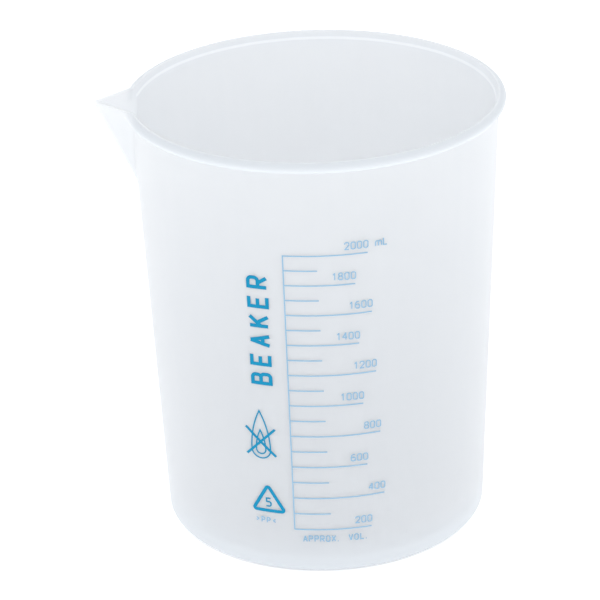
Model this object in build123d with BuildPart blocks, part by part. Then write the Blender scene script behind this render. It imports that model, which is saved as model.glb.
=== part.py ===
"""Two-litre moulded plastic beaker with a V spout and a volume scale printed on its wall.

Millimetres. The origin is the middle of the ring that the beaker stands on, +Z is up, the
spout points along -X, and the print faces -Y. The vessel is one moulding, and each printed
mark is an island of ink that lies on the wall's outer face.
"""

from build123d import *
from math import cos, degrees, pi, radians, sin, tan
import os

# ---- Body -----------------------------------------------------------------------------
height = 183.0
rim_diameter = 148.0  # outside of the wall at the rim, without the bead
foot_diameter = 132.6  # outside of the wall, carried straight down to the table
wall = 1.5
foot_corner_radius = 4.0
foot_land = 4.0  # width of the ring that touches the table
foot_recess = 3.2  # how far the bottom stands clear of the table inside that ring
bottom_thickness = 2.6
inner_corner_radius = 3.0

# ---- Rim ------------------------------------------------------------------------------
bead_proud = 2.8
bead_height = 4.2
flare_height = 3.0  # over which the bore opens out to the rim
rim_land = 0.4  # flat left between that flare and the bead
lip_rounding = 0.3

# ---- Spout ----------------------------------------------------------------------------
spout_reach = 14.7  # from the wall to the tip, along the rim
spout_half_angle = 43.5  # of the V, seen from above
spout_lean = 24.6  # of the ridge under the spout, from upright
spout_wall = 1.8
spout_nose_radius = 1.5
flank_rounding = 1.5  # outside, where the spout grows out of the wall
channel_rounding = 1.0  # inside, where the channel opens into the bore

# ---- Scale ----------------------------------------------------------------------------
ink = 0.1  # thickness of the ink on the wall
spine_azimuth = -102.6
line_weight = 0.45
top_volume = 2000  # millilitres
volume_step = 100
numeral_step = 200
long_line = 37.5  # lengths at the foot of the scale
medium_line = 31.0
short_line = 14.7
line_shortening = 0.001  # share of a line's length lost for each millimetre up the scale

numeral_height = 3.3
numeral_pitch = 2.5
numeral_weight = 0.42
numeral_lift = 1.8  # clear gap between a line and the numeral over it
numeral_overhang = 0.6  # how far the numeral runs past the end of its line
unit_gap = 2.7  # from the end of the top numeral to its unit
unit_pitch = 3.05

legend_height = 3.0
legend_pitch = 2.3
legend_weight = 0.42
legend_drop = 2.5  # clear gap between the lowest line and the legend under it
legend_offset = 3.2  # from the spine to the start of the legend

# ---- Marks beside the scale, placed by their middles, round the wall from the spine ----
word_height = 9.0
word_pitch = 8.5
word_weight = 1.5
word_offset = -10.8
word_middle = 110.0

drop_width = 8.0
drop_height = 21.6
drop_weight = 0.55
drop_offset = -12.6
drop_middle = 63.2
drop_core = 0.5  # size of the inner drop, as a share of the outer one
cross_span = 12.4
cross_weight = 1.0
cross_fall = 3.3  # middle of the cross under the middle of the drop

triangle_side = 16.0
triangle_weight = 1.4
triangle_corner_radius = 1.5
triangle_offset = -10.5
triangle_middle = 32.1
resin_number_height = 4.2
resin_number_weight = 0.6
resin_letters_height = 2.7
resin_letters_pitch = 2.3
resin_letters_weight = 0.42
resin_letters_offset = -12.0
resin_letters_middle = 23.6

# ---- Worked out from the sizes above --------------------------------------------------
foot_radius = foot_diameter / 2
rim_radius = rim_diameter / 2
draft = (rim_radius - foot_radius) / height
floor_top = foot_recess + bottom_thickness
bead_low = height - bead_height
mouth_clearance = 5.0  # how far the cutter of the bore stands out of the mouth
ink_reach = 3.0  # how far the lettering is extruded to each side of the wall's face

# Centre lines of the lettering on a grid four wide and six high, corner by corner, where the m
# is six wide. A third number rounds that corner, and a stroke that comes back is closed.
LETTER_COLUMNS = 4
LETTER_ROWS = 6
LETTER_PROPORTION = 0.62  # width of a character over its height
STROKES = {
    "0": [[(0, 0, 1.5), (4, 0, 1.5), (4, 6, 1.5), (0, 6, 1.5), (0, 0)]],
    "1": [[(2.5, 0), (2.5, 6.3)], [(0.9, 4.5), (2.4, 5.8)]],
    "2": [[(0, 4.4), (0, 6, 1.5), (4, 6, 1.5), (4, 3.5, 0.9), (0.2, 0)], [(-0.4, 0), (4, 0)]],
    "4": [[(3, 0), (3, 6.3)], [(3, 6), (0, 1.9)], [(-0.3, 1.9), (4.2, 1.9)]],
    "5": [
        [(3.8, 6), (0.3, 6), (0.3, 3.4)],
        [(0, 3.4), (4, 3.4, 1.6), (4, 0, 1.6), (0, 0)],
    ],
    "6": [
        [(0, 0, 1.5), (4, 0, 1.5), (4, 3.4, 1.5), (0, 3.4, 1.5), (0, 0)],
        [(0, 1.6), (0, 6, 2.4), (3.5, 6)],
    ],
    "8": [
        [(0, 0, 1.4), (4, 0, 1.4), (4, 3.2, 1.4), (0, 3.2, 1.4), (0, 0)],
        [(0.3, 3.2, 1.3), (3.7, 3.2, 1.3), (3.7, 6, 1.3), (0.3, 6, 1.3), (0.3, 3.2)],
    ],
    "A": [[(0, -0.2), (2, 6)], [(4, -0.2), (2, 6)], [(0.7, 2), (3.3, 2)]],
    "B": [
        [(0, 3.2), (0, 6), (3.7, 6, 1.3), (3.7, 3.2, 1.3), (0, 3.2)],
        [(0, 0), (4, 0, 1.4), (4, 3.2, 1.4), (0, 3.2), (0, 0)],
    ],
    "E": [[(4, 6), (0, 6), (0, 0), (4, 0)], [(0, 3.1), (3.4, 3.1)]],
    "K": [[(0, 0), (0, 6)], [(4, 6), (0, 2.3)], [(1.4, 3.6), (4, 0)]],
    "L": [[(0.4, 6), (0.4, 0), (4, 0)]],
    "O": [[(0, 0, 1.7), (4, 0, 1.7), (4, 6, 1.7), (0, 6, 1.7), (0, 0)]],
    "P": [[(0, 0), (0, 6), (4, 6, 1.5), (4, 2.8, 1.5), (0, 2.8)]],
    "R": [[(0, 0), (0, 6), (4, 6, 1.5), (4, 2.8, 1.5), (0, 2.8)], [(1.8, 2.8), (4, 0)]],
    "V": [[(0, 6.2), (2, 0)], [(4, 6.2), (2, 0)]],
    "X": [[(0, 0), (4, 6)], [(0, 6), (4, 0)]],
    "m": [[(0, 0), (0, 4.2, 1), (3, 4.2, 1), (3, 0)], [(3, 2.6), (3, 4.2, 1), (6, 4.2, 1), (6, 0)]],
    ".": [[(0, 0), (0.8, 0)]],
    ">": [[(0, 4.8), (3.2, 3)], [(0, 1.2), (3.2, 3)]],
    "<": [[(4, 4.8), (0.8, 3)], [(4, 1.2), (0.8, 3)]],
}


def wall_radius(z):
    """Outside radius of the wall at a height."""
    return foot_radius + draft * z


def bore_radius(z):
    """Inside radius of the wall at a height."""
    return wall_radius(z) - wall


def fill_height(volume):
    """Height of the surface when the tapered bore holds this many millilitres."""
    space = 1000 * volume
    bottom = bore_radius(floor_top)
    surface = (bottom**3 + 3 * draft * space / pi) ** (1 / 3)
    return floor_top + 3 * space / (pi * (bottom**2 + bottom * surface + surface**2))


def line_length(longest, z):
    """Length of a scale line at a height, from its length at the foot of the scale."""
    return longest * (1 - line_shortening * (z - lowest_line))


def half_plane(azimuth):
    """Plane that holds the axis and looks out at an azimuth: its X is outward and its Y up."""
    turn = radians(azimuth)
    return Plane((0, 0, 0), x_dir=(cos(turn), sin(turn), 0), z_dir=(sin(turn), -cos(turn), 0))


def wall_plane(offset, z, upward=False):
    """Plane against the wall, this far round from the spine. Its X runs round the wall, or up it."""
    turn = radians(spine_azimuth) + offset / wall_radius(z)
    out = Vector(cos(turn), sin(turn), 0)
    around = Vector(-sin(turn), cos(turn), 0)
    along = Vector(0, 0, 1) if upward else around
    return Plane(out * wall_radius(z) + Vector(0, 0, z), x_dir=along, z_dir=out)


def band(start, turn, low, high):
    """A band of ink that runs round the wall from one azimuth through an angle."""
    with BuildSketch(half_plane(start)) as section:
        with BuildLine():
            Polyline(
                (wall_radius(low), low),
                (wall_radius(low) + ink, low),
                (wall_radius(high) + ink, high),
                (wall_radius(high), high),
                close=True,
            )
        make_face()
    revolve(section.sketch, axis=Axis.Z, revolution_arc=turn)


def letter_span(cap_height, weight):
    """Distance between the outermost centre lines of a character."""
    return LETTER_PROPORTION * cap_height - weight


def row_length(count, cap_height, pitch, weight):
    """Length over the ink of a row of this many characters."""
    return (count - 1) * pitch + letter_span(cap_height, weight) + weight


def letter(character, plane, cap_height, weight):
    """One stroke-drawn character, its lower left corner at the plane's origin."""
    column = letter_span(cap_height, weight) / LETTER_COLUMNS
    row = (cap_height - weight) / LETTER_ROWS
    with BuildSketch(plane) as face:
        for stroke in STROKES[character]:
            closed = len(stroke) > 2 and stroke[0][:2] == stroke[-1][:2]
            corners = stroke[:-1] if closed else stroke
            turned = corners if closed else corners[1:-1]
            points = [(weight / 2 + c[0] * column, weight / 2 + c[1] * row) for c in corners]
            radii = [c[2] * column if len(c) == 3 else 0 for c in turned]
            with BuildLine():
                if turned:
                    FilletPolyline(*points, radius=radii, close=closed)
                else:
                    Line(*points)
            trace(line_width=weight)
    extrude(face.sketch, amount=ink_reach, both=True)


def lettering(text, offset, z, cap_height, pitch, weight, upward=False):
    """A row of characters whose lower left corner is at this offset and height."""
    for place, character in enumerate(text):
        along = place * pitch
        if upward:
            plane = wall_plane(offset, z + along, upward=True)
        else:
            plane = wall_plane(offset + along, z)
        if character != " ":
            letter(character, plane, cap_height, weight)


def keep_ink():
    """Cut what was extruded through the wall down to the film of ink on its face."""
    add(ink_film.part, mode=Mode.INTERSECT)


def write(node, name):
    """Name a finished node and write it."""
    node.part.label = name
    export_step(node.part, f"parts/{name}.step")


os.makedirs("parts", exist_ok=True)

# ---- Vessel ---------------------------------------------------------------------------
with BuildPart() as vessel:
    # Outside, filled solid: foot corner, tapered wall and the bead rolled out at the rim.
    with BuildSketch(Plane.XZ) as outside:
        with BuildLine():
            Polyline((0, height), (0, 0), (foot_radius, 0), (wall_radius(bead_low), bead_low))
            EllipticalCenterArc(
                (wall_radius(bead_low), height - bead_height / 2),
                bead_proud,
                bead_height / 2,
                start_angle=-90,
                arc_size=180,
            )
            Line((wall_radius(bead_low), height), (0, height))
        make_face()
        foot_corner = outside.vertices().group_by(Axis.Y)[0].sort_by(Axis.X)[-1]
        fillet(foot_corner, radius=foot_corner_radius)
    revolve(axis=Axis.Z)

    # Spout: a V prism that leans in as it goes down, until its ridge is inside the bore.
    slope = tan(radians(spout_lean))
    flank = tan(radians(spout_half_angle))
    nose_setback = spout_nose_radius * (1 / sin(radians(spout_half_angle)) - 1)
    apex = -(rim_radius + spout_reach + nose_setback)
    prism_depth = spout_reach + nose_setback + rim_radius / 2
    spout_drop = (spout_reach + wall) / (slope - draft)
    spout_slide = Vector(slope, 0, -1) * spout_drop
    with BuildSketch(Plane.XY.offset(height)) as spout_plan:
        with BuildLine():
            Polyline(
                (apex, 0),
                (apex + prism_depth, flank * prism_depth),
                (apex + prism_depth, -flank * prism_depth),
                close=True,
            )
        make_face()
        fillet(spout_plan.vertices().sort_by(Axis.X)[0], radius=spout_nose_radius)
    extrude(amount=spout_slide.length, dir=spout_slide)
    flank_roots = vessel.edges(Select.LAST).filter_by(GeomType.ELLIPSE)
    fillet(flank_roots, radius=flank_rounding)

    # Bore, down to the floor, with a rounded inner corner.
    bore_top = height + mouth_clearance
    with BuildSketch(Plane.XZ) as bore:
        with BuildLine():
            Polyline(
                (0, floor_top),
                (bore_radius(floor_top), floor_top),
                (bore_radius(bore_top), bore_top),
                (0, bore_top),
                close=True,
            )
        make_face()
        inner_corner = bore.vertices().group_by(Axis.Y)[0].sort_by(Axis.X)[-1]
        fillet(inner_corner, radius=inner_corner_radius)
    revolve(axis=Axis.Z, mode=Mode.SUBTRACT)

    # Channel of the spout: the same V, set in by the spout's wall.
    channel_apex = apex + spout_wall / sin(radians(spout_half_angle))
    with BuildSketch(Plane.XY.offset(height)):
        with BuildLine():
            Polyline(
                (channel_apex, 0),
                (channel_apex + prism_depth, flank * prism_depth),
                (channel_apex + prism_depth, -flank * prism_depth),
                close=True,
            )
        make_face()
    extrude(amount=spout_slide.length, dir=spout_slide, mode=Mode.SUBTRACT)
    channel_mouth = vessel.edges(Select.LAST).filter_by(GeomType.ELLIPSE)
    fillet(channel_mouth, radius=channel_rounding)

    # Flare of the bore at the mouth.
    flare_low = height - flare_height
    with BuildSketch(Plane.XZ):
        with BuildLine():
            Polyline(
                (0, flare_low),
                (bore_radius(flare_low), flare_low),
                (wall_radius(bead_low) - rim_land, height),
                (0, height),
                close=True,
            )
        make_face()
    revolve(axis=Axis.Z, mode=Mode.SUBTRACT)

    # Recess under the bottom, inside the ring that the beaker stands on.
    recess_radius = foot_radius - foot_corner_radius - foot_land
    with BuildSketch(Plane.XZ):
        with BuildLine():
            Polyline(
                (0, 0),
                (recess_radius, 0),
                (recess_radius - foot_recess, foot_recess),
                (0, foot_recess),
                close=True,
            )
        make_face()
    revolve(axis=Axis.Z, mode=Mode.SUBTRACT)

    # Inner edge of the mouth, all round the bore and the channel.
    rim_face = vessel.faces().sort_by(Axis.Z)[-1]
    fillet(rim_face.inner_wires()[0].edges(), radius=lip_rounding)
write(vessel, "vessel")

# ---- Film that all the ink is cut from, over the plain part of the wall ---------------
with BuildPart() as ink_film:
    band(spine_azimuth + 180, 360, foot_corner_radius, bead_low)

# ---- Scale: a spine up the wall, with lines that run off it to the right ---------------
spine_turn = degrees(line_weight / wall_radius(height / 2))
lowest_line = fill_height(numeral_step) - line_weight / 2
highest_line = fill_height(top_volume) + line_weight / 2
with BuildPart() as scale_spine:
    band(spine_azimuth - spine_turn / 2, spine_turn, lowest_line, highest_line)
write(scale_spine, "scale_spine")

line_sets = {
    "long_scale_lines": (long_line, 2 * numeral_step, 2 * numeral_step),
    "medium_scale_lines": (medium_line, numeral_step, 2 * numeral_step),
    "short_scale_lines": (short_line, numeral_step + volume_step, numeral_step),
}
for name, (longest, first_volume, step) in line_sets.items():
    with BuildPart() as scale_lines:
        for volume in range(first_volume, top_volume + 1, step):
            z = fill_height(volume)
            start = spine_azimuth + spine_turn / 2
            turn = degrees(line_length(longest, z) / wall_radius(z))
            band(start, turn, z - line_weight / 2, z + line_weight / 2)
    write(scale_lines, name)

# ---- Numerals, each ending over the end of its line, and the unit after the top one ----
numeral_floor = line_weight / 2 + numeral_lift
for volume in range(numeral_step, top_volume + 1, numeral_step):
    longest = medium_line if volume % (2 * numeral_step) else long_line
    digits = str(volume)
    used = row_length(len(digits), numeral_height, numeral_pitch, numeral_weight)
    last = line_length(longest, fill_height(volume)) + numeral_overhang
    base = fill_height(volume) + numeral_floor
    with BuildPart() as numeral:
        lettering(digits, last - used, base, numeral_height, numeral_pitch, numeral_weight)
        keep_ink()
    write(numeral, f"numeral_{volume}")

with BuildPart() as unit_mark:
    lettering("mL", last + unit_gap, base, numeral_height, unit_pitch, numeral_weight)
    keep_ink()
write(unit_mark, "unit_mark")

# ---- Legend under the scale ------------------------------------------------------------
with BuildPart() as volume_legend:
    base = lowest_line - legend_drop - legend_height
    lettering("APPROX. VOL.", legend_offset, base, legend_height, legend_pitch, legend_weight)
    keep_ink()
write(volume_legend, "volume_legend")

# ---- Word that reads up the wall ------------------------------------------------------
with BuildPart() as upright_word:
    word = "BEAKER"
    foot_of_word = word_middle - row_length(len(word), word_height, word_pitch, word_weight) / 2
    baseline = word_offset + word_height / 2
    lettering(word, baseline, foot_of_word, word_height, word_pitch, word_weight, upward=True)
    keep_ink()
write(upright_word, "upright_word")

# ---- Crossed drop: two nested drops under a saltire ------------------------------------
with BuildPart() as crossed_drop:
    with BuildSketch(wall_plane(drop_offset, drop_middle)) as drops:
        for share in (1, drop_core):
            belly = share * drop_width / 2
            foot = -drop_height / 2 + (1 - share) * drop_width / 2
            tip = foot + share * drop_height
            with BuildLine():
                ThreePointArc((belly, foot + belly), (0, foot), (-belly, foot + belly))
                side = TangentArc((-belly, foot + belly), (0, tip), tangent=(0, 1))
                mirror(side, about=Plane.YZ)
            trace(line_width=drop_weight)
        for lean in (-1, 1):
            with BuildLine():
                Line(
                    (-lean * cross_span / 2, -cross_span / 2 - cross_fall),
                    (lean * cross_span / 2, cross_span / 2 - cross_fall),
                )
            trace(line_width=cross_weight)
    extrude(amount=ink_reach, both=True)
    keep_ink()
write(crossed_drop, "crossed_drop")

# ---- Resin mark: a plain triangle, its number and its letters --------------------------
with BuildPart() as resin_triangle:
    with BuildSketch(wall_plane(triangle_offset, triangle_middle)) as triangle:
        Triangle(a=triangle_side, b=triangle_side, c=triangle_side)
        fillet(triangle.vertices(), radius=triangle_corner_radius)
        offset(amount=-triangle_weight, mode=Mode.SUBTRACT)
    extrude(amount=ink_reach, both=True)
    keep_ink()
write(resin_triangle, "resin_triangle")

with BuildPart() as resin_number:
    used = row_length(1, resin_number_height, 0, resin_number_weight)
    first = triangle_offset - used / 2
    base = triangle_middle - resin_number_height / 2
    lettering("5", first, base, resin_number_height, 0, resin_number_weight)
    keep_ink()
write(resin_number, "resin_number")

with BuildPart() as resin_letters:
    letters = ">PP<"
    used = row_length(len(letters), resin_letters_height, resin_letters_pitch, resin_letters_weight)
    first = resin_letters_offset - used / 2
    base = resin_letters_middle - resin_letters_height / 2
    lettering(letters, first, base, resin_letters_height, resin_letters_pitch, resin_letters_weight)
    keep_ink()
write(resin_letters, "resin_letters")
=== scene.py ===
# %% [markdown]
# # A two-litre plastic beaker
# The real object is one moulding in milky polypropylene with a screen print on its wall.
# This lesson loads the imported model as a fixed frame, rebuilds the moulding as a finer mesh,
# gives the plastic and the ink their finishes, and sets up a plain studio.

import math

import bpy
import numpy as np
from mathutils import Matrix, Vector


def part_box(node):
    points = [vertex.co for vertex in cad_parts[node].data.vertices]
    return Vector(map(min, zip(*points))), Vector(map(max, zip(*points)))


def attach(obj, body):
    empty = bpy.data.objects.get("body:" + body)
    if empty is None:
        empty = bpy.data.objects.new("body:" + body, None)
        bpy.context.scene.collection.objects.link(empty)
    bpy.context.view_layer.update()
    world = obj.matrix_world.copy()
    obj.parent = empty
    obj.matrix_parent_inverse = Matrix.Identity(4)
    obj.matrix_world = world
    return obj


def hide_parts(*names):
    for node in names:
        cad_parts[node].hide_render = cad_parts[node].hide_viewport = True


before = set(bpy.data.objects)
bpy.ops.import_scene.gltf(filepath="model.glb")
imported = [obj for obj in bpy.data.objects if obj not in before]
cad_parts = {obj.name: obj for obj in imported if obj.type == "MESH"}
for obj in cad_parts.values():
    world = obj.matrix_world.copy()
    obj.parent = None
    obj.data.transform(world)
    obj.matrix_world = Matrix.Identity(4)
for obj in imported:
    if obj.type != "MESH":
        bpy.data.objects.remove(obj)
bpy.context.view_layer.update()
MM = 0.001
print("nodes in the frame:", len(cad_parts))

# %% [markdown]
# ## Sizes
# Everything is worked out in millimetres, because that is how a moulding is drawn, and
# turned into metres at the last moment. The height and the spout's tip are read from the
# frame, so the new mesh fills exactly the space that the frame's vessel holds.

# %% Sizes of the moulding
low, high = (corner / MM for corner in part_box("vessel"))
height = high.z
tip = -low.x
rim_radius = 74.0  # outside of the wall, without the bead
foot_radius = 66.3
wall = 1.5
foot_corner = 4.0
foot_land = 4.0
foot_recess = 3.2
floor_top = 5.8
inner_corner = 3.0
bead_height = 4.2
bead_proud = 2.8
flare_height = 3.0  # over which the bore opens out at the mouth
rim_land = 0.4  # flat left between that flare and the bead
flare_low = height - flare_height
lip = 0.3
draft = (rim_radius - foot_radius) / height
lean = math.atan(draft)
flare_width = wall - rim_land - draft * bead_height
print(f"height {height:.1f} mm, tip {tip:.1f} mm from the axis, draft {math.degrees(lean):.2f} deg")


def wall_radius(z):
    """Outside radius of the tapered wall at a height."""
    return foot_radius + draft * z


def bore_radius(z):
    """Inside radius at a height: the wall's, and wider in the flare at the mouth."""
    return wall_radius(z) - wall + flare_width * np.maximum(z - flare_low, 0) / flare_height


# %% [markdown]
# ## Outline
# A round moulding is drawn as half of its cross-section, once round the plastic: out
# along the underside, up the outside, over the bead, down the bore and in along the floor.
# Straight runs need few points. The part of the wall that the spout is pulled from gets
# many, because it is bent later.

# %% Helpers for the outline
def arc(centre, across, up, start, end, count):
    """Points along an arc of an ellipse, between two angles in degrees."""
    turns = [math.radians(start + (end - start) * i / count) for i in range(count + 1)]
    return [(centre[0] + across * math.cos(t), centre[1] + up * math.sin(t)) for t in turns]


def up_the_wall(radius_at, start, end, count):
    """Points on a tapered wall between two heights."""
    heights = [start + (end - start) * i / count for i in range(count + 1)]
    return [(radius_at(z), z) for z in heights]


# %% The outline, point by point
spout_low = 145.0  # the spout has run out into the wall above this height
bead_low = height - bead_height
slant = math.degrees(lean)
foot_centre = (wall_radius(foot_corner) - foot_corner / math.cos(lean), foot_corner)
inner_height = floor_top + inner_corner
inner_centre = (bore_radius(inner_height) - inner_corner / math.cos(lean), inner_height)
bead_centre = (wall_radius(bead_low), height - bead_height / 2)
lip_centre = (bore_radius(height) + lip, height - lip)
recess_radius = foot_radius - foot_corner - foot_land

outline = [(0, foot_recess), (recess_radius / 2, foot_recess)]
outline += [(recess_radius - foot_recess, foot_recess), (recess_radius, 0)]
outline += arc(foot_centre, foot_corner, foot_corner, -90, -slant, 12)
outline += up_the_wall(wall_radius, foot_corner + 4, spout_low, 12)
outline += up_the_wall(wall_radius, spout_low, bead_low, 40)[1:-1]
outline += arc(bead_centre, bead_proud, bead_height / 2, -90, 90, 18)
outline += arc(lip_centre, lip, lip, 90, 180, 4)
outline += up_the_wall(bore_radius, height - lip, flare_low, 5)[1:]
outline += up_the_wall(bore_radius, flare_low, spout_low, 40)[1:]
outline += up_the_wall(bore_radius, spout_low, inner_height + 4, 12)[1:]
outline += arc(inner_centre, inner_corner, inner_corner, -slant, -90, 8)
outline += [(inner_centre[0] / 2, floor_top), (0, floor_top)]
print("points in the outline:", len(outline))

# %% [markdown]
# ## Turning the body
# The outline is drawn from a single vertex, pushed along with the extrude tool, and then
# spun about the axis, as on a lathe. The spout needs narrow columns of faces and the rest
# doesn't, so it is spun in two goes: a fine sector over the spout, then the rest of the way.

# %% Draw the outline
SPOUT_SECTOR = math.radians(34)


def outline_point(point, azimuth):
    """A point of the outline, in metres, on the half plane at an azimuth."""
    radius, z = point
    return Vector((radius * math.cos(azimuth), radius * math.sin(azimuth), z)) * MM


start = math.pi + SPOUT_SECTOR / 2  # the spin tool turns clockwise, seen from above
points = [outline_point(point, start) for point in outline]
bpy.ops.object.select_all(action="DESELECT")
bpy.ops.mesh.primitive_plane_add(size=MM, location=(0, 0, 0))
vessel = bpy.context.object
vessel.name = vessel.data.name = "moulded_vessel"
bpy.ops.object.mode_set(mode="EDIT")
bpy.ops.mesh.merge(type="CENTER")
bpy.ops.transform.translate(value=points[0])
for here, there in zip(points, points[1:]):
    bpy.ops.mesh.extrude_region_move(TRANSFORM_OT_translate={"value": there - here})
bpy.ops.mesh.select_all(action="SELECT")
bpy.ops.object.mode_set(mode="OBJECT")
print("vertices drawn:", len(vessel.data.vertices))

# %% Spin it
FINE_STEPS = 136
COARSE_STEPS = 256
bpy.ops.object.mode_set(mode="EDIT")
for angle, steps in ((SPOUT_SECTOR, FINE_STEPS), (2 * math.pi - SPOUT_SECTOR, COARSE_STEPS)):
    bpy.ops.mesh.spin(steps=steps, angle=angle, center=(0, 0, 0), axis=(0, 0, 1))
bpy.ops.mesh.select_all(action="SELECT")
bpy.ops.mesh.remove_doubles(threshold=0.001 * MM)
bpy.ops.mesh.normals_make_consistent(inside=False)
bpy.ops.object.mode_set(mode="OBJECT")
print("faces after the spin:", len(vessel.data.polygons))

# %% [markdown]
# ## Pulling the spout
# On the real mould the spout is a V that leans in as it goes down, until its ridge runs out
# in the wall. A second solid could be joined on, but that leaves a hard seam. Here each
# point of the wall is moved straight out from the axis until it reaches the V, and the two
# shapes are blended where they meet, so the skin stays whole and the creases stay soft.

# %% The V, seen from the axis
spout_half_angle = math.radians(43.5)
spout_slope = math.tan(math.radians(24.6))
spout_wall = 1.8
nose = 1.5
nose_setback = nose * (1 / math.sin(spout_half_angle) - 1)
ridge_blend = 4 * nose_setback  # gives the ridge its nose radius
root_blend = 1.2  # outside, where the spout grows out of the wall
groove_blend = 0.6  # along the bottom of the channel
mouth_blend = 0.8  # where the channel opens into the bore
rim_split = 0.35  # skin no deeper than this under the wall's face belongs to the outside
apex = tip + nose_setback
channel_apex = apex - spout_wall / math.sin(spout_half_angle)


def larger(a, b, blend):
    """The larger of two radii, with the corner between them rounded over a blend width."""
    painted_shade_share = np.maximum(blend - np.abs(a - b), 0) / blend
    return np.maximum(a, b) + blend * painted_shade_share**2 / 4


def smaller(a, b, blend):
    """The smaller of two radii, with the corner rounded."""
    return -larger(-a, -b, blend)


def vee_radius(turn, z, apex_at_rim, blend):
    """Radius at which a ray from the axis, turned away from the spout, meets the V."""
    reach = (apex_at_rim - spout_slope * (height - z)) * math.sin(spout_half_angle)
    square = math.pi / 2 - spout_half_angle
    return smaller(reach / np.cos(square - turn), reach / np.cos(square + turn), blend)


print(f"V's sharp corner {apex:.2f} mm out, its channel's {channel_apex:.2f} mm")

# %% Move the wall out to the V
places = np.empty(len(vessel.data.vertices) * 3)
vessel.data.vertices.foreach_get("co", places)
places = places.reshape(-1, 3)
x, y, z = (places / MM).T
radius = np.hypot(x, y)
turn = np.arctan2(y, -x)
pulled = (np.abs(turn) < SPOUT_SECTOR / 2) & (z > spout_low)
outside = pulled & (radius > wall_radius(z) - rim_split)
inside = pulled & ~outside
above_lip = np.clip(z - (height - lip), 0, lip)
rounding = lip - np.sqrt(lip**2 - above_lip**2)  # rounds the V's upper edges as the rim's

new_radius = radius.copy()
new_radius[outside] = larger(
    radius[outside],
    vee_radius(turn[outside], z[outside], apex, ridge_blend) - rounding[outside],
    root_blend,
)
new_radius[inside] = larger(
    radius[inside],
    vee_radius(turn[inside], z[inside], channel_apex, groove_blend) + rounding[inside],
    mouth_blend,
)
stretch = new_radius / np.maximum(radius, 1)
stretch[~pulled] = 1
places[:, :2] *= stretch[:, None]
vessel.data.vertices.foreach_set("co", places.ravel())
vessel.data.update()
bpy.ops.object.shade_smooth_by_angle(angle=math.radians(35))
print("points moved:", int((stretch > 1.0001).sum()), "furthest out:", round(new_radius.max(), 2))

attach(vessel, "root")
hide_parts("vessel")

# %% [markdown]
# ## Shader helper
# A material is a tree of nodes. Writing it as sums keeps it readable, so one small class
# stands for a wire: a sum of wires adds its Math nodes, and every other kind of node comes
# from one method.

# %% A wire, and the tree it belongs to
class Wire:
    """A socket whose value can be used in sums."""

    def __init__(self, finish, socket):
        self.finish, self.socket = finish, socket

    def maths(self, operation, *values):
        return self.finish.node("ShaderNodeMath", {"operation": operation}, dict(enumerate(values)))

    def __add__(self, other):
        return self.maths("ADD", self, other)

    __radd__ = __add__

    def __mul__(self, other):
        return self.maths("MULTIPLY", self, other)

    __rmul__ = __mul__

    def __rsub__(self, other):
        return self.maths("SUBTRACT", other, self)


class Finish:
    """A new material, and the nodes that are added to it."""

    def __init__(self, name):
        self.material = bpy.data.materials.new(name)
        self.material.use_nodes = True
        self.tree = self.material.node_tree
        self.shader = self.tree.nodes["Principled BSDF"]

    def node(self, kind, settings, values, output=0):
        node = self.tree.nodes.new(kind)
        for name, value in settings.items():
            setattr(node, name, value)
        self.feed(node, values)
        return Wire(self, node.outputs[output])

    def feed(self, node, values):
        """Sets or links a node's sockets."""
        for name, value in values.items():
            if isinstance(value, Wire):
                self.tree.links.new(value.socket, node.inputs[name])
            else:
                node.inputs[name].default_value = value

    def noise(self, place, scale, detail):
        return self.node(
            "ShaderNodeTexNoise", {}, {"Vector": place, "Scale": scale, "Detail": detail}
        )

    def blend(self, factor, first, second):
        """A colour between two colours."""
        values = {"Factor": factor, "A": first, "B": second}
        return self.node("ShaderNodeMix", {"data_type": "RGBA"}, values, "Result")

    def rise(self, value, start, end):
        """0 below a start and 1 above an end, both in millimetres, with a ramp between."""
        values = {"Value": value, "From Min": start * MM, "From Max": end * MM}
        return self.node("ShaderNodeMapRange", {"clamp": True}, values, "Result")


print("helpers ready")

# %% [markdown]
# ## Milky polypropylene
# Natural polypropylene is neither clear nor white: light goes in, scatters and comes out
# again, often on the other side of so thin a wall. Subsurface scattering with a long reach does
# that, and keeps the wall evenly lit, which plain transmission wouldn't. Its skin is satin with
# a very fine grain, and the melt leaves faint streaks up the wall and clouds in it, so three
# sizes of noise vary its colour, gloss and relief.

# %% Its clouds, streaks and grain
PLASTIC_IOR = 1.49
plastic = Finish("milky_polypropylene")
place = plastic.node("ShaderNodeTexCoord", {}, {}, output="Object")
along_flow = plastic.node("ShaderNodeMapping", {}, {"Vector": place, "Scale": (1, 1, 0.08)})
clouds = plastic.noise(place, 22, 3)
streaks = plastic.noise(along_flow, 160, 3)
grain = plastic.noise(place, 1500, 2)
mottle = clouds * 0.6 + streaks * 0.4
satin = 0.3 + 0.12 * mottle
colour = plastic.blend(mottle, (0.81, 0.85, 0.895, 1), (0.865, 0.89, 0.93, 1))
relief = plastic.node(
    "ShaderNodeBump", {}, {"Strength": 0.25, "Distance": 0.1 * MM, "Height": grain + streaks * 2}
)
print("nodes so far:", len(plastic.tree.nodes))

# %% [markdown]
# ## Thick places, painted shade and a painted highlight
# The plastic isn't equally thick all over. The bead and the foot are thicker, and an opaque,
# darker copy of the plastic is mixed in there: painted shade on the bead, and on the foot more
# so towards the bottom. The crease under the flare glows weakly, a painted highlight that makes
# a fine bright line. Each place is a mask that is 1 there and 0 elsewhere, worked out from the
# height and from the distance to the axis.

# %% Masks of the painted shade on the bead and the foot, and of the crease's painted highlight
sideways, upward = [
    plastic.node("ShaderNodeSeparateXYZ", {}, {"Vector": place}, axis) for axis in "XZ"
]
flat_place = plastic.node("ShaderNodeMapping", {}, {"Vector": place, "Scale": (1, 1, 0)})
off_axis = plastic.node("ShaderNodeVectorMath", {"operation": "LENGTH"}, {0: flat_place}, "Value")

# The rim's bead, where the opaque copy of the plastic paints shade.
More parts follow.
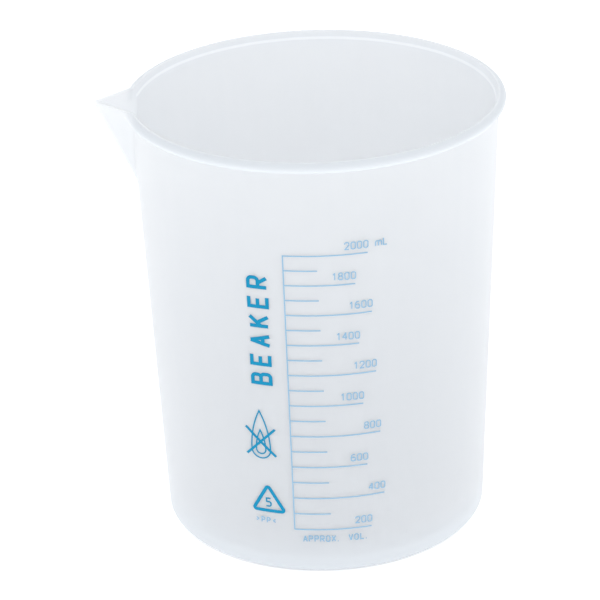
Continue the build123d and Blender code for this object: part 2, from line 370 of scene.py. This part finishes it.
bead_painted_shade = plastic.rise(upward, bead_low - 0.4, bead_low + 0.4)
bead_painted_shade = bead_painted_shade * plastic.rise(off_axis, rim_radius, rim_radius + 0.6)
bead_painted_shade = bead_painted_shade * plastic.rise(sideways, 1 - rim_radius - bead_proud, 3 - rim_radius)  # not the spout

# The crease under the flare gets a painted highlight: a weak glow as a fine bright line.
crease_low, crease_high = flare_low - 0.5, flare_low + 0.6
edge = 0.2  # half of the ramp at each edge of the crease's line
painted_crease_highlight = plastic.rise(upward, crease_low - edge, crease_low + edge)
painted_crease_highlight = painted_crease_highlight * (1 - plastic.rise(upward, crease_high - edge, crease_high + edge))
painted_crease_highlight = painted_crease_highlight * (1 - plastic.rise(off_axis, rim_radius - 1.2, rim_radius - 0.9))

# The foot, where the opaque copy paints shade, darkest at the bottom.
foot_shade_full, foot_shade_faded = 2, 16  # heights between which the foot's deeper tone fades out
outer_side = plastic.rise(off_axis, foot_radius - 1.3, foot_radius - 0.4)
underneath = 1 - plastic.rise(upward, floor_top - 1.4, floor_top - 0.4)
foot_painted_shade = 1 - plastic.rise(upward, foot_shade_full, foot_shade_faded)
foot_painted_shade = foot_painted_shade * outer_side.maths("MAXIMUM", outer_side, underneath)
print(f"crease between {crease_low:.1f} and {crease_high:.1f} mm, foot below {foot_shade_faded} mm")

# %% The thin plastic, which light goes through
plastic.feed(
    plastic.shader,
    {
        "Base Color": colour,
        "Roughness": satin,
        "Normal": relief,
        "IOR": PLASTIC_IOR,
        "Subsurface Weight": 1.0,
        "Subsurface Radius": (1.0, 1.0, 1.0),
        "Subsurface Scale": 10 * MM,
        # The crease's emission is a painted highlight, a glow with no lamp behind it.
        "Emission Color": plastic.blend(painted_crease_highlight, (0, 0, 0, 1), (1, 1, 1, 1)),
        "Emission Strength": 0.1,
    },
)

# %% The thick plastic, an opaque and darker copy that paints shade on the bead and the foot, and the two together
BEAD_PAINTED_SHADE_SHARE = 0.8
FOOT_PAINTED_SHADE_SHARE = 0.7
opaque_painted_shade = plastic.node(
    "ShaderNodeBsdfPrincipled",
    {},
    {
        "Base Color": plastic.blend(foot_painted_shade, (0.78, 0.815, 0.85, 1), (0.62, 0.655, 0.69, 1)),
        "Roughness": satin,
        "Normal": relief,
        "IOR": PLASTIC_IOR,
    },
)
thin = Wire(plastic, plastic.shader.outputs[0])
# How much painted shade, from the opaque copy, goes on the bead and on the foot.
painted_shade_share = bead_painted_shade * BEAD_PAINTED_SHADE_SHARE + foot_painted_shade * FOOT_PAINTED_SHADE_SHARE
mixed = plastic.node("ShaderNodeMixShader", {}, {0: painted_shade_share, 1: thin, 2: opaque_painted_shade})
plastic.feed(plastic.tree.nodes["Material Output"], {"Surface": mixed})
vessel.data.materials.clear()
vessel.data.materials.append(plastic.material)
print("nodes in the plastic:", len(plastic.tree.nodes))

# %% [markdown]
# ## Screen-printed ink
# The print is one blue ink. Where a stroke is broad the ink is full, and in the fine scale
# lines and numerals the screen lets less through, so they look paler. Both get a fine
# mottle from the mesh of the screen. The printed nodes keep the frame's shapes.

# %% The inks
def ink_finish(name, deep, thin):
    """A printed ink that varies between two colours."""
    ink = Finish(name)
    place = ink.node("ShaderNodeTexCoord", {}, {}, output="Object")
    mesh = ink.noise(place, 900, 3)
    patches = ink.noise(place, 140, 2)
    cover = mesh * 0.5 + patches * 0.5
    colour = ink.blend(cover, deep, thin)
    relief = ink.node(
        "ShaderNodeBump", {}, {"Strength": 0.2, "Distance": 0.05 * MM, "Height": mesh}
    )
    values = {"Base Color": colour, "Roughness": 0.35 + 0.2 * cover, "Normal": relief}
    ink.feed(ink.shader, values | {"Specular IOR Level": 0.15})
    return ink.material


full_ink = ink_finish("full_blue_ink", (0.0, 0.24, 0.45, 1), (0.005, 0.34, 0.58, 1))
fine_ink = ink_finish("fine_blue_ink", (0.24, 0.48, 0.70, 1), (0.38, 0.61, 0.81, 1))
broad = ("upright_word", "crossed_drop", "resin_triangle", "resin_number")
for name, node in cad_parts.items():
    if name != "vessel":
        node.data.materials.clear()
        node.data.materials.append(full_ink if name in broad else fine_ink)
print("printed nodes:", len(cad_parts) - 1)

# %% [markdown]
# ## Studio
# The beaker stands on a table that glows white, as a light table does, in an evenly lit room
# with one weak broad light overhead. Light from all sides keeps so pale a plastic free of
# shadows. The table's glow is cut out under the foot, a painted shadow where the beaker stands.

# %% Table
bpy.ops.mesh.primitive_plane_add(size=8, location=(0, 0, -0.1 * MM))
floor = bpy.context.object
floor.name = "white_table"
paper = Finish("white_paper")
on_table = paper.node("ShaderNodeTexCoord", {}, {}, output="Object")
off_axis = paper.node("ShaderNodeVectorMath", {"operation": "LENGTH"}, {0: on_table}, "Value")
# The glow stops under the foot: a painted shadow beneath the beaker.
glow_outside_painted_shadow = paper.rise(off_axis, foot_radius - foot_corner - 1, foot_radius - 1)
paper.feed(
    paper.shader,
    {
        "Base Color": (0.9, 0.9, 0.9, 1),
        "Roughness": 0.9,
        "Emission Color": paper.blend(glow_outside_painted_shadow, (0, 0, 0, 1), (1, 1, 1, 1)),
        "Emission Strength": 0.47,
    },
)
floor.data.materials.append(paper.material)
print("table:", tuple(round(v, 1) for v in floor.dimensions))

# %% Room and overhead light
world = bpy.data.worlds.new("bright_room")
world.use_nodes = True
sky = world.node_tree.nodes["Background"]
sky.inputs["Color"].default_value = (0.957, 0.98, 1.008, 1)
sky.inputs["Strength"].default_value = 0.88
bpy.context.scene.world = world

bpy.ops.object.light_add(type="AREA", location=(0.4, 0.2, 2.2))
overhead = bpy.context.object
overhead.data.shape = "DISK"
overhead.data.size = 1.8
overhead.data.energy = 3
bpy.context.scene.view_settings.view_transform = "Standard"
print("lights:", overhead.data.energy, "W overhead")

# %% [markdown]
# ## Camera
# A long lens a little over a metre away, looking down at about 25 degrees with the spout to the
# left. The camera is slightly tilted, as a hand-levelled one is.

# %% Camera
LENS = 178.34
distance = 1228.0
azimuth = math.radians(-90.81)
elevation = math.radians(24.91)
roll = -0.03358
aim = Vector((-8.57, 0.19, 91.78))
back = Vector(
    (
        math.cos(elevation) * math.cos(azimuth),
        math.cos(elevation) * math.sin(azimuth),
        math.sin(elevation),
    )
)
level = Vector((-math.sin(azimuth), math.cos(azimuth), 0))
upright = back.cross(level)
right = math.cos(roll) * level + math.sin(roll) * upright
up = back.cross(right)
bpy.ops.object.camera_add()
camera = bpy.context.object
camera.data.lens = LENS
camera.data.sensor_width = 36
camera.matrix_world = Matrix.Translation((aim + back * distance) * MM) @ Matrix(
    (right, up, back)
).transposed().to_4x4()
bpy.context.scene.camera = camera
print("camera at", [round(v, 3) for v in camera.location])
